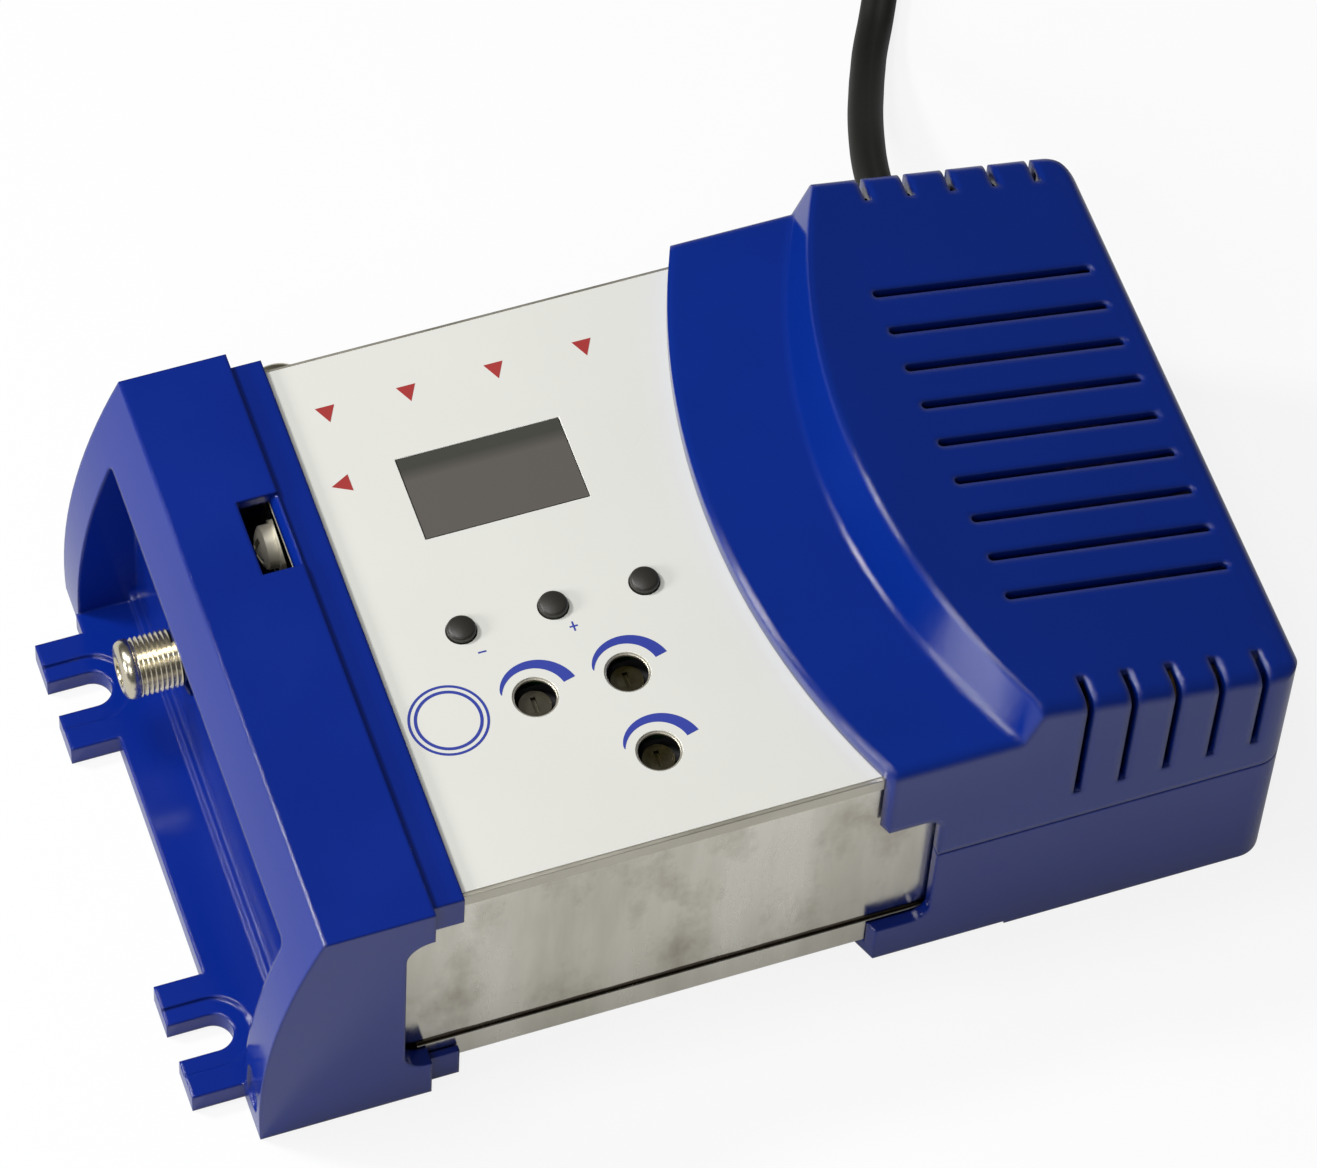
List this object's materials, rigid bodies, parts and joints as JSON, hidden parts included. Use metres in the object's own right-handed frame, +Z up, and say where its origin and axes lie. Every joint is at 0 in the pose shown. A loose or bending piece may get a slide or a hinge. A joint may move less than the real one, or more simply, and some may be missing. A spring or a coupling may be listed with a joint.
{
  "type": "rf modulator",
  "caption": "Set-top RF modulator: tinplate case with labelled top, display, buttons and trimmers, held between a blue slotted-ear bracket and a vented blue power housing with a flat lead.",
  "frame": {"origin": "centre of the overall box without the lead, on the plane that the part stands on", "axes": "+X from the fixing ears to the power housing, +Y towards the sockets and the lead, +Z up"},
  "size_m": [0.1853, 0.2749, 0.0645],
  "materials": {
    "blue_plastic": "moulded ABS, satin gloss, cobalt blue",
    "tinplate": "tinplate with a fine rolling grain",
    "label": "printed off-white polyester film",
    "smoked_window": "smoked clear plastic",
    "black_plastic": "black moulded plastic",
    "dark_plastic": "dark grey moulded plastic",
    "trimmer_plastic": "black moulded plastic",
    "circuit_board": "green solder mask on glass-epoxy board",
    "power_board": "paper-phenolic board",
    "nickel": "bright nickel plate",
    "zinc": "zinc-plated steel",
    "contact_brass": "plated spring brass",
    "white_plastic": "white moulded plastic",
    "yellow_plastic": "yellow moulded plastic",
    "red_plastic": "red moulded plastic",
    "capacitor_sleeve": "shrunk vinyl sleeve over aluminium can",
    "ferrite": "sintered ferrite",
    "winding_tape": "polyester tape over copper winding",
    "terminal_plastic": "green moulded plastic",
    "fuse_glass": "glass tube with plated caps",
    "wire_brown": "brown vinyl insulation",
    "wire_red": "red vinyl insulation",
    "black_vinyl": "black soft vinyl sheath"
  },
  "bodies": {
    "modulator": {"end_bracket": "blue_plastic", "case_frame": "tinplate", "top_cover": "tinplate", "bottom_cover": "tinplate", "top_label": "label", "display_window": "smoked_window", "display_module": "dark_plastic", "button_switches": "dark_plastic", "trimmer_bases": "trimmer_plastic", "control_board": "circuit_board", "board_spacers": "white_plastic", "board_header": "dark_plastic", "main_board": "circuit_board", "rf_shield_can": "tinplate", "controller_chip": "black_plastic", "crystal": "zinc", "filter_capacitors": "capacitor_sleeve", "rf_out_connector": "nickel", "rf_out_insulator": "white_plastic", "rf_out_contact": "contact_brass", "rf_in_connector": "nickel", "rf_in_insulator": "white_plastic", "rf_in_contact": "contact_brass", "aerial_nuts": "nickel", "video_jack": "yellow_plastic", "audio_left_jack": "white_plastic", "audio_right_jack": "red_plastic", "jack_shells": "nickel", "jack_contacts": "contact_brass", "ground_screw": "nickel", "ground_washer": "nickel", "housing_upper": "blue_plastic", "housing_lower": "blue_plastic", "housing_screws": "zinc", "power_board": "power_board", "power_board_screws": "zinc", "transformer_core": "ferrite", "transformer_winding": "winding_tape", "mains_capacitor": "capacitor_sleeve", "power_capacitors": "capacitor_sleeve", "fuse": "fuse_glass", "mains_terminal": "terminal_plastic", "mains_wires": "wire_brown", "supply_wires": "wire_red", "strain_relief": "black_vinyl", "mains_cord": "black_vinyl", "cord_coil": "black_vinyl", "cord_tail": "black_vinyl", "cord_tie": "black_vinyl", "mains_plug": "black_plastic", "plug_pins": "nickel"},
    "channel_down": {"channel_down_button": "black_plastic", "channel_down_plunger": "dark_plastic"},
    "channel_up": {"channel_up_button": "black_plastic", "channel_up_plunger": "dark_plastic"},
    "set_key": {"set_button": "black_plastic", "set_plunger": "dark_plastic"},
    "video_rotor": {"video_trimmer": "zinc"},
    "audio_rotor": {"audio_trimmer": "zinc"},
    "output_rotor": {"output_trimmer": "zinc"}
  },
  "joints": [
    {"name": "channel_down_press", "type": "slide", "parent": "modulator", "child": "channel_down", "axis": [0, 0, -1], "range_m": [0, 0.0005], "stiffness_N_per_m": 1500, "springref_m": -0.0001},
    {"name": "channel_up_press", "type": "slide", "parent": "modulator", "child": "channel_up", "axis": [0, 0, -1], "range_m": [0, 0.0005], "stiffness_N_per_m": 1500, "springref_m": -0.0001},
    {"name": "set_key_press", "type": "slide", "parent": "modulator", "child": "set_key", "axis": [0, 0, -1], "range_m": [0, 0.0005], "stiffness_N_per_m": 1500, "springref_m": -0.0001},
    {"name": "video_rotor_turn", "type": "hinge", "parent": "modulator", "child": "video_rotor", "pos_m": [-0.0249, -0.0261, 0.048], "axis": [0, 0, 1], "range_deg": [-120, 120]},
    {"name": "audio_rotor_turn", "type": "hinge", "parent": "modulator", "child": "audio_rotor", "pos_m": [-0.0104, -0.0261, 0.048], "axis": [0, 0, 1], "range_deg": [-120, 120]},
    {"name": "output_rotor_turn", "type": "hinge", "parent": "modulator", "child": "output_rotor", "pos_m": [-0.0104, -0.0405, 0.048], "axis": [0, 0, 1], "range_deg": [-120, 120]}
  ]
}
